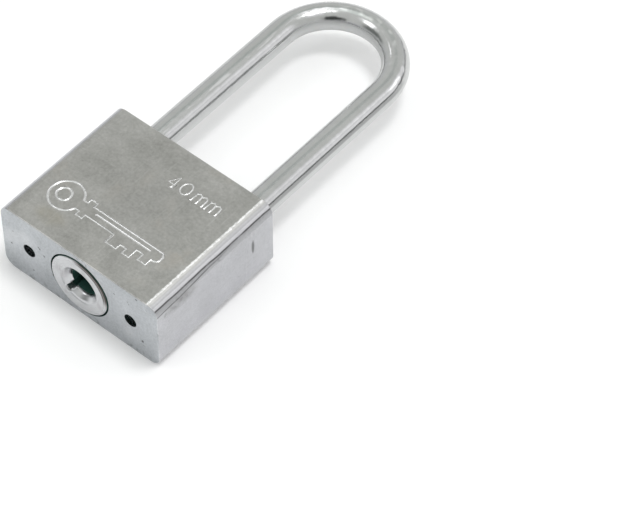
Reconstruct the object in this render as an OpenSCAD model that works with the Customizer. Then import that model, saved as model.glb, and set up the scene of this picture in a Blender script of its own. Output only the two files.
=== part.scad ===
// Padlock with a long shackle, locked by two balls and a rotating-disc cylinder.
// The lock lies on its back: X runs across the legs, Y points to the shackle, Z to the front face.
// The origin is the middle of the back face. The cylinder turns about an axis along Y.

/* [Body] */
// Width of the body across the shackle legs
body_w = 40; // [38:0.5:48]
// Height of the body from the keyway face to the shackle face
body_h = 33; // [32:0.5:42]
// Thickness of the body
body_t = 17.3; // [16.5:0.1:24]
// Rounding of the four long edges
edge_r = 2.5; // [0.5:0.25:3.5]
// Steel left above the ball driver
roof_t = 2.4; // [2:0.1:3]
// Steel left under the shackle spring
floor_t = 1.6; // [1.2:0.1:2.4]
// Diameter of the drain hole under each leg
drain_d = 3; // [2:0.1:4]

/* [Shackle] */
// Diameter of the shackle rod
shackle_d = 5.8; // [5:0.1:6.5]
// Clear height inside the loop above the body
shackle_rise = 51; // [20:1:80]
// Chamfer on the ends of the legs
tip_chamfer = 0.8; // [0.2:0.1:1]
// Length of the toe leg below the locking balls
toe_below_balls = 5; // [4.6:0.1:6]
// Gap between the lifted toe and the body
toe_clear = 0.2; // [0.1:0.1:2]
// Radial gap between a leg and its hole
leg_gap = 0.1; // [0.05:0.01:0.2]

/* [Locking balls] */
// Depth that each ball reaches into its leg
ball_bite = 1.3; // [1:0.1:1.5]
// Distance that each ball draws back into the driver
ball_travel = 4.2; // [3.6:0.1:4.4]
// Steel between the cylinder bore and each leg hole
web_t = 3.2; // [3:0.1:4]
// Gap round a ball in its channel and its pockets
ball_gap = 0.1; // [0.05:0.01:0.15]

/* [Cylinder] */
// Diameter of the bore that the cylinder turns in
bore_d = 13.6; // [13.4:0.1:13.8]
// Radial gap of each turning piece in its bore
run_gap = 0.05; // [0.02:0.01:0.08]
// Diameter of the cylinder face that shows
face_d = 14.2; // [14:0.1:14.8]
// Gap that shows round the cylinder face
face_gap = 0.3; // [0.1:0.05:0.3]
// Height of the cylinder face above the body
face_proud = 0.25; // [0:0.05:1]
// Depth of the cylinder face inside the body
face_depth = 2.6; // [2:0.1:3]
// Rounded edge of the cylinder face
face_round = 0.35; // [0.1:0.05:0.5]
// Wall of the cylinder barrel round the discs
barrel_wall = 1.2; // [1:0.05:1.4]
// Depth of the solid front of the cylinder
front_depth = 5.6; // [5.5:0.1:6]

/* [Keyhole] */
// Diameter of the round keyhole
key_hole_d = 6.2; // [5:0.1:6.6]
// Diameter of the countersink's rim
sink_d = 9.2; // [8:0.1:10]
// Direction of the keyhole's notch
key_angle = 136; // [0:1:359]
// Width of the keyhole's notch
notch_w = 1.2; // [0.8:0.1:1.6]
// Reach of the notch from the axis
notch_reach = 4.3; // [4:0.1:4.6]
// Offset of the key's flat side from the axis
key_flat = 0.3; // [0:0.1:1]

/* [Discs] */
// Thickness of a coded disc
disc_t = 1.5; // [1.3:0.05:1.6]
// Thickness of a spacer between discs
spacer_t = 0.4; // [0.3:0.05:0.5]
// Thickness of the hardened guard disc
guard_t = 1.4; // [1:0.1:1.6]
// Free play at each face of the disc stack
stack_play = 0.02; // [0.01:0.01:0.04]
// Free height of the disc spring behind the stack
disc_spring_h = 0.75; // [0.6:0.05:0.9]
// Sheet thickness of the disc spring
disc_spring_t = 0.3; // [0.2:0.05:0.35]

/* [Sidebar] */
// Direction of the sidebar from the axis
sidebar_angle = 45; // [30:1:60]
// Width of the sidebar
sidebar_w = 1.6; // [1.2:0.1:2]
// Reach of the sidebar beyond the barrel when locked
sidebar_reach = 0.7; // [0.5:0.05:0.8]
// Distance that the sidebar drops into the discs
sidebar_travel = 1.6; // [1.3:0.05:1.7]

/* [Retainers] */
// Diameter of the pin that keeps the heel leg
pin_d = 2.4; // [2:0.1:2.8]
// Depth that the pin reaches into the heel leg
pin_bite = 1.2; // [0.9:0.1:1.4]
// Solid length of the heel leg between notch and slot
heel_neck = 0.9; // [0.6:0.1:1.5]
// Solid length of the heel leg below its swivel groove
heel_land = 2.6; // [2:0.1:3]
// Distance of the snap ring from the keyway face
snap_depth = 4.2; // [4:0.1:4.3]
// Thickness of the snap ring
snap_t = 0.8; // [0.6:0.05:0.9]
// Depth of the snap ring's groove in the body
snap_bite = 0.6; // [0.4:0.05:0.8]
// Wire diameter of the shackle spring
wire_d = 0.6; // [0.4:0.05:0.7]
// Rise of each open turn of the compressed shackle spring
coil_pitch = 1.2; // [0.9:0.1:1.6]

/* [Hidden] */
$fn = 64;
fit = 0.01;        // gap round a piece that is pressed in
slip = 0.05;       // gap at a face that slides or locates
eps = 1;           // how far a cutter runs past the face it opens

// Turn that the key gives each disc to bring its gate under the sidebar
codes = [15, 60, 30, 75, 45, 60];
// Shallow false gates, as angles from the true gate
false_gates = [-54, -27, 27, 54];

// Clearances and small steps
toe_floor_gap = 0.5;   // toe of the shackle to the bottom of its hole
spring_gap = 0.15;     // shackle spring to its hole
gate_gap = 0.1;        // sidebar to the discs, to the gates and to the groove in the body
key_gap = 0.2;         // spacers to the keyhole's round outline
rim_gap = 0.15;        // driver's rim to the bore
ball_play = 0.05;      // driver's rim to a locked ball
pin_gap = 0.1;         // heel pin to the ends and the floor of its slot
channel_gap = 0.4;     // channel plug to the leg
cone_gap = 0.2;        // disc spring to the wall of the chamber

// Radii
leg_r = shackle_d / 2;
leg_hole_r = leg_r + leg_gap;
bore_r = bore_d / 2;
barrel_r = bore_r - run_gap;
chamber_r = barrel_r - barrel_wall;
disc_r = chamber_r - run_gap;
face_r = face_d / 2;
key_r = key_hole_d / 2;
spacer_hole_r = key_r + key_gap;
disc_spring_r = disc_r - cone_gap;
pin_r = pin_d / 2;

// Across the lock
leg_x = bore_r + web_t + leg_hole_r;
ball_r = (web_t + leg_gap + ball_bite + rim_gap - ball_play) / 2;
ball_rest = leg_x - leg_r + ball_bite - ball_r;
driver_r = bore_r - rim_gap;

// Along the lock, as distances from the keyway face
driver_t = 2 * (ball_r + ball_gap);
driver_top = body_h - roof_t - slip;
ball_level = driver_top - driver_t / 2;
driver_bottom = driver_top - driver_t;
cap_t = 1.25;
barrel_end = driver_bottom - cap_t - slip;
spacer_lug = 0.55;
spacer_lug_r = chamber_r + spacer_lug;
stack_pitch = disc_t + spacer_t + 2 * stack_play;
stack_start = front_depth + stack_play;
first_spacer = stack_start + guard_t + stack_play;
last_spacer = first_spacer + len(codes) * stack_pitch;
stack_end = last_spacer + spacer_t;
spring_end = stack_end + stack_play + disc_spring_h;
sidebar_start = first_spacer;
sidebar_end = last_spacer;

// Shackle travel
toe_tip = ball_level - toe_below_balls;
lift = body_h - toe_tip + toe_clear;
ramp = ball_travel / lift;
pocket_r = ball_r + ball_gap;
notch_run = (pocket_r * sqrt(1 + ramp * ramp) - (ball_r - ball_bite)) / ramp;
pin_level = ball_level - notch_run - heel_neck - pin_r - pin_gap;
slot_top = pin_level + pin_r + pin_gap;
slot_bottom = pin_level - lift - pin_r - pin_gap;
heel_tip = slot_bottom - heel_land;
toe_hole_end = toe_tip - toe_floor_gap;
bend_r = leg_x;
bend_level = body_h + shackle_rise - (bend_r - leg_r);

// Sidebar and gates, as distances from the axis
sidebar_in = disc_r + gate_gap;
sidebar_out = barrel_r + sidebar_reach;
gate_floor = sidebar_in - sidebar_travel - gate_gap;
gate_w = sidebar_w + 2 * gate_gap;
gate_flare = 0.5;
false_gate_depth = 0.5;
groove_r = sidebar_out + gate_gap;
groove_half = asin((sidebar_w / 2 + gate_gap) / barrel_r);
groove_sweep = groove_half + 90 * (groove_r - bore_r + gate_gap) / sidebar_travel;

// Snap ring
snap_in = barrel_r - snap_bite - slip;
snap_out = bore_r + snap_bite;
snap_split_w = 3;
snap_split_angle = 200;

// Drive lugs between the ball driver and the barrel
lug_w = 3;
lug_depth = 0.95;
lug_root = 0.1;
lug_out = sqrt(barrel_r * barrel_r - lug_w * lug_w / 4) - slip;
boss_r = disc_r;

// Places children on the cylinder's axis: their Z is the distance from the keyway face
module on_axis(level = 0) {
    translate([0, level - body_h / 2, body_t / 2]) rotate([-90, 0, 0]) children();
}

// Places children at a leg: side is -1 for the heel and 1 for the toe
module on_leg(side, level = 0) {
    on_axis(level) translate([side * leg_x, 0, 0]) children();
}

// Block with its four long edges rounded, standing on Z = 0
module rounded_block(w, t, h, r) {
    for (cut = [[r, 0], [0, r]])
        translate([cut[0] - w / 2, cut[1] - t / 2, 0]) cube([w - 2 * cut[0], t - 2 * cut[1], h]);
    for (x = [-1, 1], y = [-1, 1])
        translate([x * (w / 2 - r), y * (t / 2 - r), 0]) cylinder(r = r, h = h);
}

// Radial cutter or bar from one distance to another, in the direction of the X axis
module radial_bar(from_r, to_r, w, h) {
    translate([from_r, -w / 2, 0]) cube([to_r - from_r, w, h]);
}

// Half-moon prism of the key: round, with its flat towards the notch
module key_prism(h) {
    intersection() {
        cylinder(r = key_r, h = h);
        translate([-key_r - eps, -key_r - eps, 0]) cube([key_r + eps + key_flat, 2 * (key_r + eps), h]);
    }
}

// Recess in the body's bore that leads the sidebar inwards as the cylinder turns
function groove_point(a) = let (r = groove_r - sidebar_travel * max(0, a - groove_half) / 90)
    [r * cos(a), r * sin(a)];
module sidebar_groove() {
    steps = 24;
    sweep = groove_sweep + groove_half;
    rotate([0, 0, sidebar_angle])
        linear_extrude(height = sidebar_end - sidebar_start + 4 * slip)
        polygon(concat([[0, 0]], [for (i = [0:steps]) groove_point(-groove_half + sweep * i / steps)]));
}

module body() color([0.68, 0.68, 0.66]) difference() {
    on_axis() rounded_block(body_w, body_t, body_h, edge_r);
    // Cylinder: face, barrel, snap ring and sidebar
    on_axis(-eps) cylinder(r = face_r + face_gap, h = face_depth + slip + eps);
    on_axis(-eps) cylinder(r = bore_r, h = body_h - roof_t + eps);
    on_axis(snap_depth - slip) cylinder(r = snap_out + slip, h = snap_t + 2 * slip);
    on_axis(sidebar_start - 2 * slip) sidebar_groove();
    // Leg holes with their drains
    on_leg(-1, floor_t) cylinder(r = leg_hole_r, h = body_h);
    on_leg(1, toe_hole_end) cylinder(r = leg_hole_r, h = body_h);
    for (side = [-1, 1])
        on_leg(side, -eps) cylinder(d = drain_d, h = toe_hole_end + 2 * eps);
    // Ball channel, drilled from the heel side through to the toe hole
    on_axis(ball_level) translate([-body_w / 2 - eps, 0, 0])
        rotate([0, 90, 0]) cylinder(r = pocket_r, h = body_w / 2 + leg_x + eps);
    // Hole of the heel pin
    on_axis(pin_level) translate([-leg_x, 0, 0]) rotate([0, 90, 0]) cylinder(r = pin_r + fit, h = leg_x);
}

// Pressed plug that closes the drilled end of the ball channel, flush with the side
module channel_plug() color([0.66, 0.66, 0.65])
    on_axis(ball_level) translate([-body_w / 2, 0, 0]) rotate([0, 90, 0])
        cylinder(r = pocket_r - fit, h = body_w / 2 - leg_x - leg_hole_r - channel_gap);

// Pin between the cylinder bore and the heel leg's slot
module heel_pin() color([0.55, 0.56, 0.58])
    on_axis(pin_level) translate([-leg_x + leg_r - pin_bite, 0, 0]) rotate([0, 90, 0])
        cylinder(r = pin_r, h = leg_x - leg_r + pin_bite - bore_r - slip);

// Open ring that sits in the body and holds the cylinder in
module snap_ring() color([0.5, 0.51, 0.53])
    on_axis(snap_depth) difference() {
        cylinder(r = snap_out, h = snap_t);
        translate([0, 0, -eps]) cylinder(r = snap_in, h = snap_t + 2 * eps);
        translate([0, 0, -eps]) rotate([0, 0, snap_split_angle])
            radial_bar(snap_in - eps, snap_out + eps, snap_split_w, snap_t + 2 * eps);
    }

// Coil spring under the heel leg: closed end turns and open turns between them
spring_r = leg_r - wire_d / 2 - spring_gap;
spring_h = heel_tip - floor_t - 2 * slip;
end_turns = 1;
open_turns = (spring_h - wire_d * (1 + 2 * end_turns)) / coil_pitch;
spring_turns = open_turns + 2 * end_turns;
coil_touch = 0.98;   // keeps the closed turns from running into each other
ring_sides = 8;
rings_per_turn = 18;
function coil_rise(n) = wire_d / 2 + wire_d * min(n, end_turns)
    + coil_pitch * min(max(n - end_turns, 0), open_turns) + wire_d * max(n - end_turns - open_turns, 0);
function coil_ring(n) = [for (k = [0:ring_sides - 1]) let (b = 360 * k / ring_sides,
        r = spring_r + wire_d / 2 * cos(b))
    [r * cos(360 * n), r * sin(360 * n), coil_rise(n) + coil_touch * wire_d / 2 * sin(b)]];
module shackle_spring() color([0.6, 0.61, 0.63]) {
    last = round(spring_turns * rings_per_turn);
    points = [for (i = [0:last]) each coil_ring(spring_turns * i / last)];
    sides = [for (i = [0:last - 1], k = [0:ring_sides - 1])
        let (a = i * ring_sides + k, b = i * ring_sides + (k + 1) % ring_sides)
        [a, a + ring_sides, b + ring_sides, b]];
    caps = [[for (k = [0:ring_sides - 1]) k], [for (k = [ring_sides - 1:-1:0]) last * ring_sides + k]];
    on_leg(-1, floor_t + slip) polyhedron(points, concat(sides, caps));
}

// Leg with a chamfered end, from the bend down to its tip
module leg(side, tip) {
    length = bend_level - tip;
    on_leg(side, bend_level) rotate([180, 0, 0]) rotate_extrude()
        polygon([[0, 0], [leg_r, 0], [leg_r, length - tip_chamfer], [leg_r - tip_chamfer, length],
            [0, length]]);
}

// Space that a locking ball takes in its leg as the shackle rises past it: a round-ended channel
module ball_notch(side) {
    on_axis(ball_level) translate([side * ball_rest, 0, 0]) rotate([0, 180 + side * atan(ramp), 0])
        rotate_extrude() {
            square([pocket_r, lift / 2]);
            intersection() { circle(r = pocket_r); translate([0, -pocket_r]) square(pocket_r); }
        }
}

module shackle() color([0.82, 0.83, 0.83]) difference() {
    union() {
        leg(-1, heel_tip);
        leg(1, toe_tip);
        translate([0, bend_level - body_h / 2, body_t / 2])
            rotate_extrude(angle = 180) translate([bend_r, 0]) circle(r = leg_r);
    }
    ball_notch(-1);
    ball_notch(1);
    // Slot that slides past the heel pin, ending in a groove that lets the open shackle swing
    on_leg(-1, slot_bottom) translate([leg_r - pin_bite - pin_gap, -shackle_d, 0])
        cube([shackle_d, 2 * shackle_d, slot_top - slot_bottom]);
    on_leg(-1, slot_bottom) difference() {
        cylinder(r = shackle_d, h = pin_d + 2 * pin_gap);
        translate([0, 0, -eps]) cylinder(r = leg_r - pin_bite - pin_gap, h = pin_d + 2 * pin_gap + 2 * eps);
    }
}

module ball(side) color([0.75, 0.76, 0.78])
    on_axis(ball_level) translate([side * ball_rest, 0, 0]) sphere(r = ball_r);

// Turning cylinder: proud face with its countersunk keyhole, and the barrel that holds the discs
module cylinder_drum() color([0.8, 0.8, 0.78]) on_axis() difference() {
    union() {
        translate([0, 0, -face_proud]) rotate_extrude() {
            square([face_r - face_round, face_round]);
            translate([face_r - face_round, face_round])
                intersection() { circle(r = face_round); translate([0, -face_round]) square(face_round); }
            translate([0, face_round]) square([face_r, face_proud + face_depth - face_round]);
        }
        cylinder(r = barrel_r, h = barrel_end);
    }
    // Disc chamber, with the channel that stops the spacers from turning
    translate([0, 0, front_depth]) cylinder(r = chamber_r, h = barrel_end);
    translate([0, 0, front_depth]) rotate([0, 0, sidebar_angle + 180])
        radial_bar(0, spacer_lug_r + slip, sidebar_w + 2 * slip, barrel_end);
    // Sidebar slot
    translate([0, 0, sidebar_start - slip]) rotate([0, 0, sidebar_angle])
        radial_bar(0, bore_r + eps, sidebar_w + 2 * slip, sidebar_end - sidebar_start + 2 * slip);
    // Groove of the snap ring
    translate([0, 0, snap_depth - slip]) difference() {
        cylinder(r = bore_r + eps, h = snap_t + 2 * slip);
        translate([0, 0, -eps]) cylinder(r = snap_in - slip, h = snap_t + 2 * eps);
    }
    // Keyhole, countersink and notch
    translate([0, 0, -face_proud - eps]) cylinder(r = key_r, h = barrel_end);
    translate([0, 0, -face_proud - slip])
        cylinder(r1 = sink_d / 2 + slip, r2 = key_r, h = sink_d / 2 - key_r + slip);
    translate([0, 0, -face_proud - eps]) rotate([0, 0, key_angle])
        radial_bar(0, notch_reach, notch_w, front_depth + face_proud + 2 * eps);
    // Seats of the driver's two lugs
    for (a = [90, 270])
        translate([0, 0, barrel_end - lug_depth - slip]) rotate([0, 0, a])
            radial_bar(0, bore_r + eps, lug_w, barrel_end);
}

// Middle of a ball, seen from the driver after it has turned by a
function ball_place(a) = ball_rest - ball_travel * a / 90;
// Wall of the pocket that the ball draws back into
function pocket_point(a) = let (r = ball_place(a), s = ball_travel * 2 / PI, n = sqrt(r * r + s * s),
        out = r - pocket_r * r / n, side = pocket_r * s / n)
    [out * cos(a) + side * sin(a), side * cos(a) - out * sin(a)];
module ball_pocket() {
    steps = 18;
    last = ball_place(90);
    turn_in = atan2(last, ball_travel * 2 / PI);
    turn_out = 215;
    rim_turn = 105;
    linear_extrude(height = driver_t + 2 * eps) polygon(concat(
        [for (i = [0:steps]) pocket_point(90 * i / steps)],
        [for (i = [1:steps]) let (t = turn_in + (turn_out - turn_in) * i / steps)
            [pocket_r * cos(t), pocket_r * sin(t) - last]],
        [for (i = [0:7]) 2 * driver_r * [cos(rim_turn * (i / 7 - 1)), sin(rim_turn * (i / 7 - 1))]]));
}

// Driver behind the discs: cap, drive lugs and the two pockets that free the balls
module ball_driver() color([0.62, 0.6, 0.55]) on_axis() {
    difference() {
        translate([0, 0, driver_bottom]) cylinder(r = driver_r, h = driver_t);
        for (a = [0, 180])
            translate([0, 0, driver_bottom - eps]) rotate([0, 0, a]) ball_pocket();
    }
    translate([0, 0, driver_bottom - cap_t]) cylinder(r = barrel_r, h = cap_t);
    translate([0, 0, spring_end + slip]) cylinder(r = boss_r, h = driver_bottom - cap_t - spring_end - slip);
    for (a = [90, 270])
        translate([0, 0, barrel_end - lug_depth]) rotate([0, 0, a])
            radial_bar(boss_r - lug_root, lug_out, lug_w - 2 * slip, lug_depth + slip);
}

// Opening for the sidebar, wider at the rim
module gate(floor_r, h) {
    translate([0, 0, -eps]) linear_extrude(height = h + 2 * eps)
        polygon([[floor_r, -gate_w / 2], [disc_r + eps, -gate_w / 2 - gate_flare],
            [disc_r + eps, gate_w / 2 + gate_flare], [floor_r, gate_w / 2]]);
}

// Coded disc: its half-moon is turned by the code from the keyhole's, and its gate faces the sidebar
module disc(i) color([0.8, 0.66, 0.34])
    on_axis(first_spacer + spacer_t + stack_play + i * stack_pitch) difference() {
        cylinder(r = disc_r, h = disc_t);
        translate([0, 0, -eps]) rotate([0, 0, key_angle + codes[i]]) key_prism(disc_t + 2 * eps);
        rotate([0, 0, sidebar_angle]) gate(gate_floor, disc_t);
        for (a = false_gates)
            rotate([0, 0, sidebar_angle + a]) gate(disc_r - false_gate_depth, disc_t);
    }

// Hardened disc behind the keyhole
module guard_disc() color([0.5, 0.5, 0.52]) on_axis(stack_start) difference() {
    cylinder(r = disc_r, h = guard_t);
    translate([0, 0, -eps]) rotate([0, 0, key_angle]) key_prism(guard_t + 2 * eps);
}

// Spacer that stays with the barrel: round key opening, sidebar gate and a lug opposite
module spacer(i) color([0.72, 0.73, 0.74]) on_axis(first_spacer + i * stack_pitch) {
    difference() {
        cylinder(r = disc_r, h = spacer_t);
        translate([0, 0, -eps]) cylinder(r = spacer_hole_r, h = spacer_t + 2 * eps);
        rotate([0, 0, sidebar_angle]) gate(gate_floor, spacer_t);
    }
    rotate([0, 0, sidebar_angle + 180]) radial_bar(disc_r - spacer_lug, spacer_lug_r, sidebar_w, spacer_t);
}

// Cone-shaped washer that takes up the play of the stack
module disc_spring() color([0.6, 0.61, 0.63]) on_axis(stack_end + stack_play) rotate_extrude()
    polygon([[spacer_hole_r, disc_spring_h - disc_spring_t], [disc_spring_r, 0],
        [disc_spring_r, disc_spring_t], [spacer_hole_r, disc_spring_h]]);

// Bar that locks the barrel to the body until every gate lies under it
module sidebar() color([0.58, 0.59, 0.6]) on_axis(sidebar_start) rotate([0, 0, sidebar_angle]) {
    length = sidebar_end - sidebar_start;
    radial_bar(sidebar_in, sidebar_out - sidebar_w / 2, sidebar_w, length);
    translate([sidebar_out - sidebar_w / 2, 0, 0]) cylinder(d = sidebar_w, h = length);
}

body();
channel_plug();
heel_pin();
snap_ring();
shackle_spring();
shackle();
ball(-1);  // ball_left
ball(1);  // ball_right
cylinder_drum();
ball_driver();
guard_disc();
disc_spring();
sidebar();
spacer(0);  // spacer_1
spacer(1);  // spacer_2
spacer(2);  // spacer_3
spacer(3);  // spacer_4
spacer(4);  // spacer_5
spacer(5);  // spacer_6
spacer(6);  // spacer_7
disc(0);  // disc_1
disc(1);  // disc_2
disc(2);  // disc_3
disc(3);  // disc_4
disc(4);  // disc_5
disc(5);  // disc_6
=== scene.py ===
import math

import bmesh
import bpy
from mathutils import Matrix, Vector


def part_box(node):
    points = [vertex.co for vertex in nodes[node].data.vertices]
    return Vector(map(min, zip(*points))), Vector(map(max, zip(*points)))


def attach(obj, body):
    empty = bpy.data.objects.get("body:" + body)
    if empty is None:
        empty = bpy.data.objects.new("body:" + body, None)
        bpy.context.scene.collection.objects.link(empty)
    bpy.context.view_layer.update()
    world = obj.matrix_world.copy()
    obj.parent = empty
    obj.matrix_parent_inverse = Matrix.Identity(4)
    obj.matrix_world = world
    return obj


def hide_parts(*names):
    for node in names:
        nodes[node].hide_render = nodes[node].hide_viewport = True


MM = 0.001

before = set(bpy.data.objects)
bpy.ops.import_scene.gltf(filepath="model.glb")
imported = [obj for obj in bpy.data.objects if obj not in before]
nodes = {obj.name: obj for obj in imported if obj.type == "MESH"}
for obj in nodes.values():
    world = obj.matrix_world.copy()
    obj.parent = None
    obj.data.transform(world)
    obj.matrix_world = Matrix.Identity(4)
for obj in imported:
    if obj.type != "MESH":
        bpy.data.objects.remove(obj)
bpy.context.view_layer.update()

BODY_LOW, BODY_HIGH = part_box("body")
FACE_TOP = BODY_HIGH.z
AXIS_HEIGHT = (BODY_LOW.z + BODY_HIGH.z) / 2
EDGE_RADIUS = 2.5 * MM  # rounding of the block's long edges
EDGE_START = BODY_HIGH.x - EDGE_RADIUS

DRUM_LOW, DRUM_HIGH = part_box("cylinder_drum")
DRUM_RADIUS = (DRUM_HIGH.x - DRUM_LOW.x) / 2
FACE_GAP = 0.3 * MM  # shows round the cylinder's face
BORE_RADIUS = DRUM_RADIUS + FACE_GAP

SHACKLE_LOW, SHACKLE_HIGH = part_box("shackle")
ROD_RADIUS = (SHACKLE_HIGH.z - SHACKLE_LOW.z) / 2
LEG = SHACKLE_HIGH.x - ROD_RADIUS  # from the middle to a leg's axis, and the bend's radius
BEND_START = SHACKLE_HIGH.y - SHACKLE_HIGH.x - 0.1 * MM  # just below the bend itself


def span(level, *offsets):
    """Places that lie some millimetres from a level."""
    return [level + offset * MM for offset in offsets]


def round_turns(count):
    """Angles evenly round a circle."""
    return [math.tau * i / count for i in range(count)]


def grey(value, warmth=0.0):
    return (value * (1 + warmth), value, value * (1 - warmth), 1)


WHITE, BLACK = grey(1.0), grey(0.0)


# ---------------------------------------------------------------- shader maths

# The sockets of a Mix node that mixes colours.
MIX_FACTOR, MIX_FIRST, MIX_SECOND, MIX_RESULT = 0, 6, 7, 2


class Field:
    """A value that varies over a surface. Arithmetic on it adds Math nodes."""

    def __init__(self, graph, socket):
        self.graph, self.socket = graph, socket

    def math(self, operation, *values):
        return self.graph.node("ShaderNodeMath", {"operation": operation}, dict(enumerate(values)))

    def __add__(self, other):
        return self.math("ADD", self, other)

    def __sub__(self, other):
        return self.math("SUBTRACT", self, other)

    def __rsub__(self, other):
        return self.math("SUBTRACT", other, self)

    def __mul__(self, other):
        return self.math("MULTIPLY", self, other)

    def __abs__(self):
        return self.math("ABSOLUTE", self)

    __radd__ = __add__
    __rmul__ = __mul__

    def joined(self, other):
        """Two masks as one: the larger of their values."""
        return self.math("MAXIMUM", self, other)

    def between(self, low, high):
        """0 below low, 1 above high, smooth between them."""
        return self.graph.node(
            "ShaderNodeMapRange",
            {"interpolation_type": "SMOOTHSTEP"},
            {"Value": self, "From Min": low, "From Max": high},
        )

    def band(self, low, full, last, high):
        """1 from full to last, 0 below low and above high, smooth between them."""
        return self.between(low, full) * (1 - self.between(last, high))


class Graph:
    """A node tree that is filled through one method."""

    def __init__(self, tree):
        self.tree = tree
        tree.nodes.clear()

    def node(self, kind, settings=None, inputs=None, output=0):
        made = self.tree.nodes.new(kind)
        for name, value in (settings or {}).items():
            setattr(made, name, value)
        for name, value in (inputs or {}).items():
            if isinstance(value, Field):
                self.tree.links.new(value.socket, made.inputs[name])
            else:
                made.inputs[name].default_value = value
        return Field(self, made.outputs[output]) if len(made.outputs) else None

    def place(self):
        """Object coordinates."""
        return self.node("ShaderNodeTexCoord", output="Object")

    def axis(self, name, where):
        return self.node("ShaderNodeSeparateXYZ", inputs={0: where}, output=name)

    def stretched(self, scale, centre=(0, 0, 0), turn=(0, 0, 0)):
        """Object coordinates, moved, turned and scaled."""
        moved = self.node(
            "ShaderNodeVectorMath", {"operation": "SUBTRACT"}, {0: self.place(), 1: centre}
        )
        return self.node(
            "ShaderNodeMapping", {"vector_type": "POINT"},
            {"Vector": moved, "Rotation": turn, "Scale": scale},
        )

    def away(self, scale, centre):
        """Distance from a place, with a scale in each direction."""
        return self.node(
            "ShaderNodeVectorMath", {"operation": "LENGTH"},
            {0: self.stretched(scale, centre)}, output="Value",
        )

    def spot(self, scale, centre, full, gone):
        """1 round a place up to the first distance, 0 from the second."""
        return 1 - self.away(scale, centre).between(full, gone)

    def towards(self, way, direction):
        """Cosine of the angle between a way and a direction."""
        return self.node(
            "ShaderNodeVectorMath", {"operation": "DOT_PRODUCT"},
            {0: way, 1: Vector(direction).normalized()}, output="Value",
        )

    def noise(self, where, scale, detail=3, roughness=0.55):
        return self.node(
            "ShaderNodeTexNoise", {"noise_dimensions": "3D"},
            {"Vector": where, "Scale": scale, "Detail": detail, "Roughness": roughness},
        )

    def streaks(self, scale, detail=3, roughness=0.55, turn=(0, 0, 0)):
        """Noise that is drawn out by a scale of its own in each direction."""
        return self.noise(self.stretched(scale, turn=turn), 1, detail, roughness)

    def mix(self, factor, first, second):
        return self.node(
            "ShaderNodeMix", {"data_type": "RGBA"},
            {MIX_FACTOR: factor, MIX_FIRST: first, MIX_SECOND: second}, output=MIX_RESULT,
        )

    def mark(self, colour, where, kind):
        """A colour with a mark on it. A kind of mark is a tone and how much of it covers."""
        tone, cover = kind
        return self.mix(where * cover, colour, tone)

    def bump(self, height, distance, strength):
        inputs = {"Height": height, "Distance": distance, "Strength": strength}
        return self.node("ShaderNodeBump", inputs=inputs)


def finish_of(name, build, metallic=1.0):
    """A material: build(graph) returns its colour, its roughness and its normal."""
    material = bpy.data.materials.new(name)
    material.use_nodes = True
    graph = Graph(material.node_tree)
    colour, roughness, normal = build(graph)
    inputs = {
        "Base Color": colour, "Roughness": roughness, "Metallic": metallic, "Normal": normal,
    }
    shader = graph.node("ShaderNodeBsdfPrincipled", inputs=inputs)
    graph.node("ShaderNodeOutputMaterial", inputs={"Surface": shader})
    return material


def from_axis(graph):
    """Distance from the cylinder's axis."""
    return graph.away((1, 0, 1), (0, 0, AXIS_HEIGHT))


# ---------------------------------------------------------- the block's finish

# Dark and light tones of the plating.
FRONT_TONES = (0.318, 0.313, 0.297, 1), (0.548, 0.54, 0.524, 1)
SIDE_TONES = (0.358, 0.362, 0.377, 1), (0.615, 0.617, 0.642, 1)
END_TONES = (0.317, 0.335, 0.35, 1), (0.575, 0.596, 0.621, 1)

# Kinds of mark: a tone and how much of it covers.
STAIN = (0.43, 0.385, 0.33, 1), 0.6
DARKER_PATCH = BLACK, 0.09
UPPER_LEFT_SHEEN = WHITE, 0.085
BROWNED = (0.4, 0.355, 0.255, 1), 0.34
ROUND_EDGE_SHEEN = (0.85, 0.85, 0.86, 1), 0.3
SCRATCH = grey(0.85), 0.16
SMEAR = (0.16, 0.155, 0.15, 1), 0.56
SCORE = grey(0.1), 0.8
LOW_EDGE_DARKENING = (0.1, 0.12, 0.11, 1), 0.5
WORN_RIM = grey(0.75), 0.5
REFLECTED_LINE_TONE, SPECK_TONE, HOLLOW_SHADE_TONE = grey(0.12), grey(0.05), (0.05, 0.11, 0.095, 1)

# Spots: scale, middle, and the distances where they begin to fade and are gone.
DARKER_PATCH_SPOT = (90, 125, 0), (-1 * MM, 2.5 * MM, 0), 0.3, 1.1
BROWN_SPOT = (230, 420, 0), (-10.5 * MM, -12.5 * MM, 0), 0.25, 1.1
SMEAR_SPOT = (900, 175, 480), (BODY_HIGH.x, -10 * MM, 14.2 * MM), 0.15, 1.1
SCORE_SPOT = (900, 1900, 420), (BODY_HIGH.x, 10.6 * MM, 10.6 * MM), 0.5, 1.0

# Painted dark reflection lines along the right side: depth below the front, and how much of their
# tone covers.
# The second one slopes, with that depth at its middle, and is on the lower part only.
LEVEL_REFLECTED_LINE, SLOPED_REFLECTED_LINE = (0.93 * MM, 0.7), (1.3 * MM, 0.6)
REFLECTED_LINE_SLOPE, REFLECTED_LINE_MIDDLE = 0.055, 2 * MM


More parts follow.
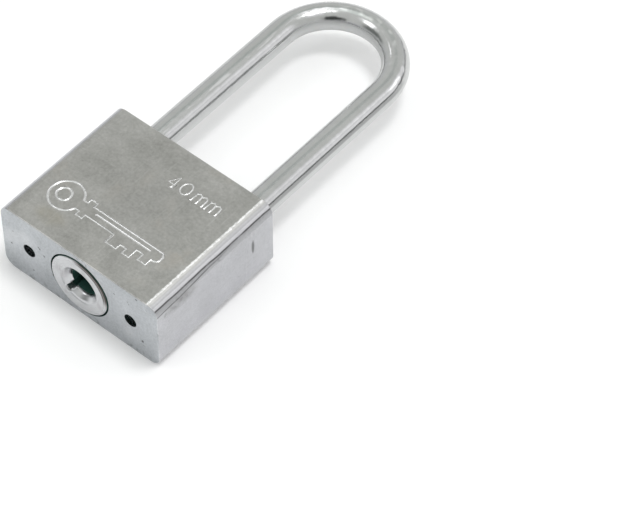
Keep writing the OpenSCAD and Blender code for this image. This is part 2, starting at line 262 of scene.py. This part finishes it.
class Block:
    """The places on the block, and the grains that its finish is made of."""

    def __init__(self, graph):
        self.graph = graph
        self.place = graph.place()
        self.x, self.y, self.z = (graph.axis(name, self.place) for name in "XYZ")
        self.front = self.z.between(*span(FACE_TOP, -0.25, -0.05))
        self.end = 1 - self.y.between(*span(BODY_LOW.y, 0.02, 0.2))
        self.round_edge = self.z.between(*span(FACE_TOP, -2.4, -1.9))
        self.round_edge = self.round_edge * self.x.between(*span(EDGE_START, -0.2, 0.2))
        self.hollow = self.holes()
        self.fine = graph.noise(self.place, scale=1700, detail=4, roughness=0.8)
        self.cloud = graph.noise(self.place, scale=190, detail=4, roughness=0.6)
        self.drift = graph.noise(self.place, scale=60, detail=2, roughness=0.5)
        self.grain = graph.streaks((2600, 130, 2600), detail=4, roughness=0.6)
        self.shade = 0.5 + 1.5 * (self.fine - 0.5) + 0.9 * (self.cloud - 0.5)
        self.shade = self.shade + 0.5 * (self.drift - 0.5)

    def holes(self):
        """1 below the block's skin and in the cylinder's bore."""
        across, along, through = (
            axis.band(*span(low, 0.8, 1.3), *span(high, -1.3, -0.8))
            for axis, low, high in zip((self.x, self.y, self.z), BODY_LOW, BODY_HIGH)
        )
        bore = 1 - from_axis(self.graph).between(*span(BORE_RADIUS, 0, 0.08))
        bore = bore * (1 - self.y.between(*span(BODY_HIGH.y, -1.3, -0.8)))
        return (across * along * through).joined(bore)

    def plating(self):
        """The plating: streaked on the sides; on the front warmer, stained by handling, darker
        round its middle, and with a painted sheen at its upper left.
        """
        mix, mark = self.graph.mix, self.graph.mark
        warm = mix(self.shade, *FRONT_TONES)
        warm = mark(warm, self.drift.between(0.48, 0.7) * self.cloud.between(0.42, 0.66), STAIN)
        warm = mark(warm, self.graph.spot(*DARKER_PATCH_SPOT), DARKER_PATCH)
        # Painted sheen: the upper left of the front is made lighter.
        upper_left = self.y.between(*span(0, 4, 15)) * (1 - self.x.between(*span(0, -18, -5)))
        warm = mark(warm, upper_left, UPPER_LEFT_SHEEN)
        brown = self.graph.spot(*BROWN_SPOT) * (0.35 + 0.65 * self.cloud.between(0.4, 0.6))
        warm = mark(warm, brown, BROWNED)
        lined = 0.5 + 0.7 * (self.shade - 0.5) + 0.25 * (self.grain - 0.5)
        side, end = mix(lined, *SIDE_TONES), mix(self.shade, *END_TONES)
        return mix(self.front, mix(self.end, side, end), warm)

    def edge_marks(self, colour):
        """The right edge: a painted sheen where it is round, painted dark reflections in strips
        beside that, and a painted glint along a ragged line.
        """
        mix, mark = self.graph.mix, self.graph.mark
        # Painted sheen: the round part of the edge is made paler.
        colour = mark(colour, self.round_edge * (1 - self.end), ROUND_EDGE_SHEEN)
        # Painted dark reflections: a thin strip at the top of the round edge and a band lower down
        # are darkened.
        strip = self.z.band(*span(FACE_TOP, -0.5, -0.35, -0.12, -0.02))
        painted_dark = self.z.band(*span(FACE_TOP, -2.6, -1.9, -1.0, -0.8))
        shaded = (strip * 0.3 + painted_dark * (0.2 + 0.25 * (self.cloud - 0.3))) * (1 - self.end)
        colour = mix(shaded * self.x.between(*span(EDGE_START, 0.1, 0.5)), colour, BLACK)
        ragged = self.x + 0.6 * MM * (self.graph.streaks((1500, 1300, 0)) - 0.5)
        # Painted glint: a ragged white line where the flat front meets the round edge.
        edge_glint = ragged.band(*span(EDGE_START, -0.28, -0.16, 0.1, 0.3)) * self.front
        return mix(edge_glint * (0.45 + 0.55 * self.fine.between(0.4, 0.55)), colour, WHITE)

    def scratches(self, colour):
        """Hair scratches in two directions."""
        first = self.graph.streaks((55, 5200, 55), detail=2, roughness=0.5, turn=(0, 0, 0.55))
        second = self.graph.streaks((5200, 70, 70), detail=2, roughness=0.5, turn=(0, 0, 0.2))
        both = first.between(0.66, 0.72).joined(second.between(0.66, 0.72))
        return self.graph.mark(colour, both, SCRATCH)

    def reflected_dark_line(self, colour, level, cover):
        """A painted dark reflection line along the right side, at a level that it wanders round a
        little.
        """
        wander = 0.4 * MM * (self.graph.streaks((0, 130, 0), detail=2) - 0.5)
        line = 1 - abs(self.z - wander - level).between(*span(0, 0.05, 0.19))
        line = line * self.x.between(*span(0, 0, 1)) * (0.4 + self.cloud.between(0.35, 0.6))
        line = line * (1 - self.front) * (1 - self.end)
        return self.graph.mix(line * cover, colour, REFLECTED_LINE_TONE)

    def side_marks(self, colour):
        """Two painted dark reflection lines, a smear and a score on the right side."""
        mark = self.graph.mark
        depth, cover = LEVEL_REFLECTED_LINE
        colour = self.reflected_dark_line(colour, FACE_TOP - depth, cover)
        depth, cover = SLOPED_REFLECTED_LINE
        level = FACE_TOP - depth + REFLECTED_LINE_SLOPE * (self.y - REFLECTED_LINE_MIDDLE)
        low_part = 1 - self.y.between(*span(0, -6, 8))
        colour = self.reflected_dark_line(colour, level, cover * low_part)
        patchy = self.graph.noise(self.place, scale=760).between(0.38, 0.62)
        colour = mark(colour, self.graph.spot(*SMEAR_SPOT) * (0.55 + 0.6 * patchy), SMEAR)
        return mark(colour, self.graph.spot(*SCORE_SPOT), SCORE)

    def end_marks(self, colour):
        """Specks, patchy darkening along the lower edge of the lower end, and its worn outline."""
        mix, mark = self.graph.mix, self.graph.mark
        speck = self.graph.noise(self.place, scale=520, detail=2, roughness=0.5)
        speck = speck.between(0.695, 0.74) * (0.2 + 0.6 * self.end) * (1 - self.front)
        colour = mix(speck, colour, SPECK_TONE)
        low_darkening = self.graph.noise(self.place, scale=900).between(0.52, 0.66) * self.end
        colour = mark(colour, low_darkening * (1 - self.z.between(*span(0, 0.4, 2.2))), LOW_EDGE_DARKENING)
        rim = self.y.band(*span(BODY_LOW.y, 0.01, 0.04, 0.14, 0.2)) * (1 - self.hollow)
        return mark(colour, rim * self.cloud.between(0.4, 0.65), WORN_RIM)


def satin_case(graph):
    """Nickel-plated block: a satin front, smoother sides, handling marks, painted sheen and dark
    reflections on its right edge, and rough bores in painted shade.
    """
    block = Block(graph)
    colour = block.scratches(block.edge_marks(block.plating()))
    colour = block.end_marks(block.side_marks(colour))
    # Painted shade: the inside of the block and the cylinder's bore are made dark.
    colour = graph.mix(block.hollow, colour, HOLLOW_SHADE_TONE)
    roughness = 0.2 + 0.1 * block.front - 0.04 * block.end
    roughness = roughness + 0.1 * (block.cloud - 0.5) + 0.06 * block.grain
    roughness = roughness + 0.55 * block.hollow + 0.24 * block.round_edge
    height = 0.8 * block.fine + 0.5 * block.cloud + 0.7 * block.grain * (1 - block.front)
    height = height + 1.5 * block.fine * block.round_edge
    return colour, roughness, graph.bump(height, distance=0.01 * MM, strength=0.7)


# ------------------------------------------------------------- other finishes

CHROME_TONES = (0.496, 0.503, 0.5, 1), (0.636, 0.642, 0.642, 1)
GLINT_TONE = (0.93, 0.93, 0.95, 1)
CREST_SHEEN = grey(0.95), 0.75

FACE_TONES = (0.442, 0.447, 0.456, 1), (0.75, 0.755, 0.77, 1)
FACE_SMEAR = (0.3, 0.27, 0.29, 1), 0.3
GAP_SHADE_TONE, RIM_AND_HOLE_SHADE_TONE = (0.075, 0.062, 0.056, 1), (0.07, 0.17, 0.145, 1)


def polished_chrome(graph):
    """Chrome on a drawn rod: draw lines, slow waves, and a coarser skin where it is bent; painted
    dark reflections and shade on the legs, a painted glint on the left leg and painted highlights
    on the bend's crest.
    """
    place = graph.place()
    x, y, z = (graph.axis(name, place) for name in "XYZ")
    lines = graph.streaks((1500, 60, 1500), detail=4, roughness=0.6)
    waves = graph.noise(place, scale=90, detail=2, roughness=0.5)
    peel = graph.noise(place, scale=640, detail=1, roughness=0.5)

    bend = y.between(*span(BEND_START, 0, 9))
    reach = graph.away((1, 1, 0), (0, BEND_START, 0))  # from the bend's middle
    outer = bend * reach.between(*span(LEG, -1.6, 0.2)) * x.between(*span(0, -3, 4))
    inner = y.between(*span(BEND_START, -4, 5)) * (1 - reach.between(*span(LEG, -2.6, -2.42)))
    crest = 1 - abs(reach - (LEG - 0.1 * MM)).between(*span(0, 0.35, 0.95))
    crest = crest * z.between(*span(AXIS_HEIGHT, 2.2, 2.7))
    crest = crest * bend * x.band(*span(0, -7.5, -5, 7, 9))

    colour = graph.mix(0.6 * waves + 0.4 * peel, *CHROME_TONES)
    # Painted dark reflection on the right leg's outer side, and painted shade on the left leg's
    # outer side.
    leg_dark_reflection = x.between(*span(LEG, 1.6, 2.1)) * z.band(*span(AXIS_HEIGHT, 0.5, 0.95, 1.4, 1.8))
    shaded_side = 1 - x.between(*span(-LEG, -2.3, -1.0))
    painted_leg_darkening = (leg_dark_reflection * 0.42 + shaded_side * 0.36) * (0.85 + 0.3 * waves) * (1 - bend)
    colour = graph.mix(painted_leg_darkening, colour, BLACK)
    glint = x.band(*span(-LEG, 0.3, 0.7, 1.0, 1.6))
    glint = glint * z.between(*span(AXIS_HEIGHT, 2.1, 2.4)) * (1 - bend)
    broken = graph.streaks((1100, 170, 0), detail=2, roughness=0.5).between(0.5, 0.66)
    colour = graph.mix(glint * (0.08 + 0.5 * broken), colour, GLINT_TONE)
    # Painted highlights: pale patches on the crest of the bend.
    sheen_patches = graph.noise(place, scale=560, detail=0, roughness=0.5).between(0.4, 0.72)
    colour = graph.mark(colour, crest * sheen_patches, CREST_SHEEN)

    roughness = 0.12 + 0.08 * lines + 0.03 * bend + 0.3 * inner
    skin = 2 + (1.5 * bend + 5 * outer) * (1 - crest)
    height = 0.25 * lines + 1.2 * waves + peel * skin
    return colour, roughness, graph.bump(height, distance=0.02 * MM, strength=0.8)


def turned_nickel(graph):
    """Turned and plated cylinder face: fine rings round the axis, painted shade round its rim and
    deep inside, and a band of painted shade and reflection on its upper right.
    """
    place = graph.place()
    x, y, z = (graph.axis(name, place) for name in "XYZ")
    radius = from_axis(graph)
    rings = graph.node(
        "ShaderNodeTexNoise", {"noise_dimensions": "1D"}, {"W": radius, "Scale": 5200, "Detail": 3}
    )
    cloud = graph.noise(place, scale=420)
    colour = graph.mix(0.4 * rings + 0.6 * cloud, *FACE_TONES)
    smear = graph.noise(place, scale=300, detail=2, roughness=0.4).between(0.56, 0.7)
    colour = graph.mark(colour, smear, FACE_SMEAR)
    # Painted shade and reflection: a dark brownish band on the outer part of the face, on its upper
    # right only.
    band = radius.between(*span(DRUM_RADIUS, -0.95, -0.7))
    off_line = abs(radius - (DRUM_RADIUS - 0.34 * MM)).between(*span(0, 0.04, 0.2))
    upper_right = (z + x - AXIS_HEIGHT).between(*span(0, 5, 8))
    colour = graph.mix(band * (0.68 + 0.3 * off_line) * upper_right, colour, GAP_SHADE_TONE)
    # Painted shade: the rim of the face and the deep part of the keyhole are made dark.
    rim = radius.between(*span(DRUM_RADIUS, -0.05, -0.01))
    painted_dark = rim.joined(y.between(*span(DRUM_LOW.y, 1.5, 1.7)))
    colour = graph.mix(painted_dark, colour, RIM_AND_HOLE_SHADE_TONE)
    roughness = 0.22 + 0.14 * rings + 0.5 * painted_dark
    return colour, roughness, graph.bump(rings, distance=0.008 * MM, strength=0.5)


def stamped(dark, light, roughness, scale=900):
    """Stamped or ground inner metal: a close grain over the two tones."""

    def build(graph):
        grain = graph.noise(graph.stretched((1, 0.25, 1)), scale, detail=4)
        cloud = graph.noise(graph.place(), scale / 5)
        colour = graph.mix(0.5 * grain + 0.5 * cloud, dark, light)
        normal = graph.bump(grain, distance=0.008 * MM, strength=0.5)
        return colour, roughness + 0.18 * (grain - 0.5), normal

    return build


CASE = finish_of("satin_nickel_case", satin_case)
CHROME = finish_of("polished_chrome_rod", polished_chrome)
NICKEL = finish_of("turned_nickel_face", turned_nickel)
BRASS = finish_of("stamped_brass", stamped((0.5, 0.33, 0.11, 1), (0.83, 0.63, 0.28, 1), 0.26))
STRIP = finish_of("rolled_strip_steel", stamped(grey(0.4, -0.02), grey(0.62), 0.24))
HARD = finish_of("hardened_steel", stamped(grey(0.16, 0.03), grey(0.32, 0.02), 0.32))
GROUND = finish_of("ground_ball_steel", stamped(grey(0.55), grey(0.7, -0.01), 0.1, 500))
WIRE = finish_of("spring_wire", stamped(grey(0.28, -0.02), grey(0.5, -0.02), 0.22, 1500))
SINTER = finish_of("sintered_iron", stamped(grey(0.12, 0.06), grey(0.3, 0.05), 0.45, 2200))
BLUED = finish_of(
    "blued_steel", stamped((0.026, 0.062, 0.053, 1), (0.062, 0.13, 0.11, 1), 0.4), metallic=0.3
)
# The pressed lines get a pale tone: a painted highlight, so that they look bright from every side.
PRESSED_LINE_SHEEN = finish_of("pressed_line", stamped(grey(0.5), WHITE, 0.26, 1800))

FINISH_BY_NODE = {
    "shackle": CHROME,
    "channel_plug": CASE,
    "heel_pin": HARD,
    "snap_ring": WIRE,
    "shackle_spring": WIRE,
    "ball_left": GROUND,
    "ball_right": GROUND,
    "ball_driver": SINTER,
    "guard_disc": BLUED,
    "disc_spring": WIRE,
    "sidebar": HARD,
}


def dress(name, material):
    for slot in nodes[name].material_slots:
        slot.material = material


for name in nodes:
    if name in FINISH_BY_NODE:
        dress(name, FINISH_BY_NODE[name])
    elif name.startswith("spacer_"):
        dress(name, STRIP)
    elif name.startswith("disc_"):
        dress(name, BRASS)


# ------------------------------------------------------------------- geometry

TOUCH = 0.001 * MM  # what lies nearer than this to a plane is on it
MERGE_DISTANCE = 0.0005 * MM
FLAT_ANGLE, SMOOTH_ANGLE, SHARP_ANGLE = (math.radians(angle) for angle in (0.2, 32, 40))


def object_from(mesh, name, material=None):
    made = bpy.data.objects.new(name, mesh)
    bpy.context.scene.collection.objects.link(made)
    if material:
        mesh.materials.clear()
        mesh.materials.append(material)
    return made


def copy_of(node, name, material):
    """A merged copy of a CAD node, with its flat faces joined up."""
    mesh = bpy.data.meshes.new(name)
    work = bmesh.new()
    work.from_mesh(nodes[node].data)
    bmesh.ops.remove_doubles(work, verts=work.verts, dist=MERGE_DISTANCE)
    bmesh.ops.dissolve_limit(work, angle_limit=FLAT_ANGLE, verts=work.verts, edges=work.edges)
    work.to_mesh(mesh)
    work.free()
    return object_from(mesh, name, material)


def ease_edges(piece, width, chosen, segments=2):
    """Breaks the sharp edges that chosen(edge) picks."""
    work = bmesh.new()
    work.from_mesh(piece.data)
    sharp = [
        e for e in work.edges
        if e.is_manifold and e.calc_face_angle(0) > SHARP_ANGLE and chosen(e)
    ]
    bmesh.ops.bevel(
        work, geom=sharp, offset=width, offset_type="OFFSET", segments=segments,
        profile=0.5, affect="EDGES", clamp_overlap=True,
    )
    work.to_mesh(piece.data)
    work.free()


def apply_modifiers(piece):
    """Keeps the evaluated mesh and drops the modifiers."""
    evaluated = piece.evaluated_get(bpy.context.evaluated_depsgraph_get())
    mesh = bpy.data.meshes.new_from_object(evaluated)
    piece.modifiers.clear()
    piece.data = mesh


def carve(piece, cutter):
    cut = piece.modifiers.new("cut", "BOOLEAN")
    cut.operation, cut.solver, cut.object = "DIFFERENCE", "EXACT", cutter
    cut.use_self, cut.material_mode = True, "TRANSFER"
    apply_modifiers(piece)
    bpy.data.objects.remove(cutter)


def smooth(piece, crease=None):
    """Smooth shading up to an angle, with flat faces kept flat and chosen edges kept crisp."""
    piece.data.shade_smooth()
    piece.data.set_sharp_from_angle(angle=SMOOTH_ANGLE)
    if crease:
        points = piece.data.vertices
        for edge in piece.data.edges:
            if all(crease(points[i].co) for i in edge.vertices):
                edge.use_edge_sharp = True
    even = piece.modifiers.new("even", "WEIGHTED_NORMAL")
    even.mode, even.weight, even.keep_sharp = "FACE_AREA", 100, True
    apply_modifiers(piece)


# ------------------------------------------------- stamped lines on the front

# Pressed lines: width, depth, and how many sides the round bar has that presses them.
KEY_LINE = 0.54 * MM, 0.17 * MM, 20
SIZE_LINE = 0.34 * MM, 0.11 * MM, 16


def stroke_tree():
    """Round bars along the edges of a mesh, used to press lines into a face."""
    tree = bpy.data.node_groups.new("pressed_line", "GeometryNodeTree")
    face = tree.interface
    face.new_socket("Geometry", in_out="INPUT", socket_type="NodeSocketGeometry")
    radius = face.new_socket("Bar Radius", in_out="INPUT", socket_type="NodeSocketFloat")
    sides = face.new_socket("Bar Sides", in_out="INPUT", socket_type="NodeSocketInt")
    finish = face.new_socket("Finish", in_out="INPUT", socket_type="NodeSocketMaterial")
    face.new_socket("Geometry", in_out="OUTPUT", socket_type="NodeSocketGeometry")
    new, link = tree.nodes.new, tree.links.new
    entry, leave = new("NodeGroupInput"), new("NodeGroupOutput")
    path = new("GeometryNodeMeshToCurve")
    ring = new("GeometryNodeCurvePrimitiveCircle")
    sweep = new("GeometryNodeCurveToMesh")
    real = new("GeometryNodeRealizeInstances")
    paint = new("GeometryNodeSetMaterial")
    sweep.inputs["Fill Caps"].default_value = True
    link(entry.outputs["Geometry"], path.inputs["Mesh"])
    link(entry.outputs["Bar Radius"], ring.inputs["Radius"])
    link(entry.outputs["Bar Sides"], ring.inputs["Resolution"])
    link(path.outputs["Curve"], sweep.inputs["Curve"])
    link(ring.outputs["Curve"], sweep.inputs["Profile Curve"])
    link(sweep.outputs["Mesh"], real.inputs["Geometry"])
    link(real.outputs["Geometry"], paint.inputs["Geometry"])
    link(entry.outputs["Finish"], paint.inputs["Material"])
    link(paint.outputs["Geometry"], leave.inputs["Geometry"])
    return tree, radius.identifier, sides.identifier, finish.identifier


STROKES, BAR_RADIUS, BAR_SIDES, BAR_FINISH = stroke_tree()


def pressed_lines(name, paths, width, depth, sides):
    """Cutter for lines along closed or open paths, in millimetres, on the front face."""
    radius = (width * width / 4 + depth * depth) / (2 * depth)
    level = FACE_TOP + radius - depth
    mesh = bpy.data.meshes.new(name)
    points, edges = [], []
    for path, closed in paths:
        start = len(points)
        points += [(x * MM, y * MM, level) for x, y in path]
        edges += [(start + i, start + i + 1) for i in range(len(path) - 1)]
        if closed:
            edges.append((len(points) - 1, start))
    mesh.from_pydata(points, edges, [])
    made = object_from(mesh, name)
    modifier = made.modifiers.new("bars", "NODES")
    modifier.node_group = STROKES
    modifier[BAR_RADIUS] = radius
    modifier[BAR_SIDES] = sides
    modifier[BAR_FINISH] = PRESSED_LINE_SHEEN
    apply_modifiers(made)
    return made


def arc(centre, radius, start, end, steps):
    """Points on an arc from one angle to another, in degrees."""
    turns = [math.radians(start + (end - start) * i / steps) for i in range(steps + 1)]
    return [(centre[0] + radius * math.cos(t), centre[1] + radius * math.sin(t)) for t in turns]


def key_outline():
    """A plain key in outline, across the lower part of the front face."""
    left, right, middle = -15.3, 12.5, -6.75
    bow, eye, stem, chamfer = 3.6, 1.55, 1.25, 0.7
    collar, collar_left, collar_right = 2.3, -7.3, -5.7
    groove_left, groove_right, groove_height = -4.3, 9.6, 0.2
    teeth = [
        (1.6, -stem), (1.6, -3.6), (4.2, -3.6), (4.2, -2.3), (5.7, -2.3), (5.7, -3.6),
        (7.4, -3.6), (7.4, -stem), (9.0, -stem), (9.0, -2.9), (11.0, -2.9), (11.0, -stem),
    ]
    blade = [
        (collar_left, -stem), (collar_left, -collar), (collar_right, -collar),
        (collar_right, -stem), *teeth, (right - chamfer, -stem), (right, -stem + chamfer),
        (right, stem - chamfer), (right - chamfer, stem), (collar_right, stem),
        (collar_right, collar), (collar_left, collar), (collar_left, stem),
    ]
    centre = (left + bow, middle)
    meet = math.degrees(math.asin(stem / bow))
    outline = arc(centre, bow, meet, 360 - meet, 40) + [(x, middle + y) for x, y in blade]
    hole = arc((centre[0] - 0.6, middle), eye, 0, 345, 23)
    groove = [(x, middle + groove_height) for x in (groove_left, groove_right)]
    return [(outline, True), (hole, True), (groove, False)]


def size_mark():
    """The width of the body in figures, with its unit."""
    low, figure_height, letter_height = 7.6, 3.0, 2.3
    four_left, four_width, four_foot = 0.8, 1.9, (1.75, 2.6)
    nought_middle, nought_width, nought_steps = 4.75, 2.2, 28
    letters, letter_width, leg_gap, half_foot = (7.1, 10.5), 2.9, 0.46, 0.3
    four = [(0.72, 0), (0.72, 1), (0.0, 0.28), (1.0, 0.28)]
    stem = [(0, 0), (0, 1)]
    arch = [(0.0, 0.74), (0.1, 0.93), (0.25, 1.0), (0.4, 0.9), (leg_gap, 0.7), (leg_gap, 0)]

    def sized(left, width, height, points):
        """An open path, from points that are shares of a width and a height."""
        return [(left + u * width, low + v * height) for u, v in points], False

    def foot(left, right):
        """A serif along the lower line."""
        return [(left, low), (right, low)], False

    nought = [
        (
            nought_middle + nought_width / 2 * math.cos(t),
            low + figure_height / 2 * (1 + math.sin(t)),
        )
        for t in round_turns(nought_steps)
    ]
    paths = [sized(four_left, four_width, figure_height, four), (nought, True), foot(*four_foot)]
    for left in letters:
        legs = [left + i * leg_gap * letter_width for i in range(3)]
        paths += [foot(leg - half_foot, leg + half_foot) for leg in legs]
        paths.append(sized(left, letter_width, letter_height, stem))
        paths += [sized(leg, letter_width, letter_height, arch) for leg in legs[:2]]
    return paths


# ------------------------------------------------------------------------ case

OUTLINE_EASE, MOUTH_EASE = 0.16 * MM, 0.1 * MM
OUTLINE_WALL = 0.75 * MM  # each edge of an end's outline lies nearer than this to a side
DRAIN_SIDE = LEG - 3 * MM  # of the lower end's mouths, only the drains are further out
FLAT_SIDE = EDGE_START - 0.5 * MM  # the pressed lines lie further in than this


def at_end(edge):
    """True for the edges that lie in the plane of either end."""
    return all(abs(abs(v.co.y) - BODY_HIGH.y) < TOUCH for v in edge.verts)


def on_outline(edge):
    """True for the edges of the two ends' outlines."""
    middle = (edge.verts[0].co + edge.verts[1].co) / 2
    wall = min(middle.x - BODY_LOW.x, BODY_HIGH.x - middle.x,
               middle.z - BODY_LOW.z, BODY_HIGH.z - middle.z)
    return at_end(edge) and wall < OUTLINE_WALL


def on_mouth(edge):
    """True for the mouths of the holes in the two ends, without the drains."""
    drain = all(v.co.y < 0 and abs(v.co.x) > DRAIN_SIDE for v in edge.verts)
    return at_end(edge) and not drain and not on_outline(edge)


def on_flat_front(at):
    """True for the points of the front face and of the lines pressed into it."""
    return at.z > FACE_TOP - TOUCH and abs(at.x) < FLAT_SIDE


case = copy_of("body", "case", CASE)
ease_edges(case, OUTLINE_EASE, on_outline, segments=3)
ease_edges(case, MOUTH_EASE, on_mouth)
carve(case, pressed_lines("key_lines", key_outline(), *KEY_LINE))
carve(case, pressed_lines("size_lines", size_mark(), *SIZE_LINE))
smooth(case, crease=on_flat_front)
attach(case, "lock_body")
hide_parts("body")


# ------------------------------------------------------------------------ drum

RIM_EASE = 0.15 * MM


def on_rim(edge):
    """True for the outer edge of the cylinder's face."""
    return all(
        v.co.y < DRUM_LOW.y + TOUCH
        and math.hypot(v.co.x, v.co.z - AXIS_HEIGHT) > DRUM_RADIUS - 0.05 * MM
        for v in edge.verts
    )


face = copy_of("cylinder_drum", "turned_drum", NICKEL)
ease_edges(face, RIM_EASE, on_rim)
smooth(face)
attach(face, "cylinder")
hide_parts("cylinder_drum")


# ----------------------------------------------------------------- the studio

FLOOR_REACH, FLOOR_SIDES, FLOOR_DROP = 4.0, 64, 0.02 * MM
FLOOR_TONE = (0.93, 0.93, 0.935, 1)

LOW_SKY, HIGH_SKY = (0.74, 0.75, 0.76, 1), (0.735, 0.745, 0.725, 1)
HAZE_TONE, HORIZON_TONE = (0.68, 0.69, 0.69, 1), grey(0.02)
FAR_SIDE = (0.7, 0.71, 0)

# Cards round the lock: direction, outer and inner angle in degrees, brightness and tint.
PALE, GREENISH = (1.0, 0.99, 1.01), (0.94, 1.0, 0.96)
CARDS = [
    ((0.56, 0.62, 0.38), 29, 12, 1.2, PALE),
    ((0.74, 0.477, 0.48), 8, 3, 0.95, PALE),
    ((0.54, 0.66, 0.50), 10, 5, 2.2, PALE),
    ((-0.30, 0.477, 0.83), 15, 2, 0.6, GREENISH),
    ((-0.26, 0.12, 0.96), 14, 7, 1.05, GREENISH),
    ((0.45, -0.06, 0.89), 15, 4, 1.0, PALE),
    ((-0.22, 0.335, 0.916), 5.6, 3, 2.2, PALE),
    ((-0.09, 0.25, 0.964), 7, 4, 2.0, PALE),
    ((0.38, 0.02, 0.925), 6, 3, 2.0, PALE),
    ((-0.46, -0.36, 0.81), 8.5, 4.5, 3.0, PALE),
    ((-0.46, -0.53, 0.71), 8.5, 4.5, 3.0, PALE),
    ((-0.78, 0.14, 0.61), 5.2, 2, 2.6, PALE),
    ((0.50, -0.74, 0.40), 24, 12, 0.045, GREENISH),
    ((-0.66, -0.62, 0.24), 30, 14, 0.2, GREENISH),
]

SOFTBOX_WAY, SOFTBOX_DISTANCE = (0.155, 0.13, 0.979), 1.2
SOFTBOX_WIDTH, SOFTBOX_LENGTH, SOFTBOX_POWER = 0.31, 0.33, 4.2

CAMERA_PLACE = Vector((277.77, -275.2, 489.76)) * MM
CAMERA_AIM = Vector((24.92, 24.55, -1.41)) * MM
CAMERA_LENS, CAMERA_SENSOR = 181.63, 36
CAMERA_NEAR, CAMERA_FAR = 0.05, 20


def stand(name, data, place, back):
    """A lamp or a camera at a place, with its back turned to a direction."""
    made = bpy.data.objects.new(name, data)
    bpy.context.scene.collection.objects.link(made)
    made.location = place
    made.rotation_euler = back.to_track_quat("Z", "Y").to_euler()
    return made


def lay_floor():
    mesh = bpy.data.meshes.new("floor")
    mesh.from_pydata(
        [
            (FLOOR_REACH * math.cos(t), FLOOR_REACH * math.sin(t), 0)
            for t in round_turns(FLOOR_SIDES)
        ],
        [], [list(range(FLOOR_SIDES))],
    )
    material = bpy.data.materials.new("pale_floor")
    material.use_nodes = True
    graph = Graph(material.node_tree)
    shader = graph.node(
        "ShaderNodeBsdfPrincipled",
        inputs={
            "Base Color": FLOOR_TONE, "Roughness": 0.9, "Specular IOR Level": 0.1,
            "Emission Color": WHITE, "Emission Strength": 0.1,
        },
    )
    graph.node("ShaderNodeOutputMaterial", inputs={"Surface": shader})
    floor = object_from(mesh, "floor", material)
    floor.location.z = -FLOOR_DROP


def hang_cards():
    """A pale room, hazy low down, with a dark horizon on its far side and cards all round."""
    world = bpy.data.worlds.new("studio")
    bpy.context.scene.world = world
    world.use_nodes = True
    graph = Graph(world.node_tree)
    way = graph.node("ShaderNodeTexCoord", output=0)  # in a world, the direction looked in
    up, far = graph.axis("Z", way), graph.towards(way, FAR_SIDE)
    shade = graph.mix(up.between(0.0, 0.5), LOW_SKY, HIGH_SKY)
    for direction, outer, inner, brightness, tint in CARDS:
        edges = [math.cos(math.radians(angle)) for angle in (outer, inner)]
        cover = graph.towards(way, direction).between(*edges)
        shade = graph.mix(cover, shade, (*[brightness * part for part in tint], 1))
    haze = (1 - up.between(0.07, 0.32)) * (1 - far.between(-0.2, 0.4))
    shade = graph.mix(haze, shade, HAZE_TONE)
    horizon = up.band(-0.02, 0.0, 0.06, 0.17) * far.between(0.5, 0.9)
    shade = graph.mix(horizon, shade, HORIZON_TONE)
    light = graph.node("ShaderNodeBackground", inputs={"Color": shade, "Strength": 1.0})
    graph.node("ShaderNodeOutputWorld", inputs={"Surface": light})


def hang_softbox():
    data = bpy.data.lights.new("overhead_softbox", "AREA")
    data.shape, data.energy = "ELLIPSE", SOFTBOX_POWER
    data.size, data.size_y = SOFTBOX_WIDTH, SOFTBOX_LENGTH
    way = Vector(SOFTBOX_WAY).normalized()
    stand("overhead_softbox", data, way * SOFTBOX_DISTANCE, way)


def set_camera():
    data = bpy.data.cameras.new("camera")
    data.sensor_fit, data.sensor_width, data.lens = "HORIZONTAL", CAMERA_SENSOR, CAMERA_LENS
    data.clip_start, data.clip_end = CAMERA_NEAR, CAMERA_FAR
    made = stand("camera", data, CAMERA_PLACE, CAMERA_PLACE - CAMERA_AIM)
    bpy.context.scene.camera = made


lay_floor()
hang_cards()
hang_softbox()
set_camera()
bpy.context.scene.view_settings.view_transform = "Standard"
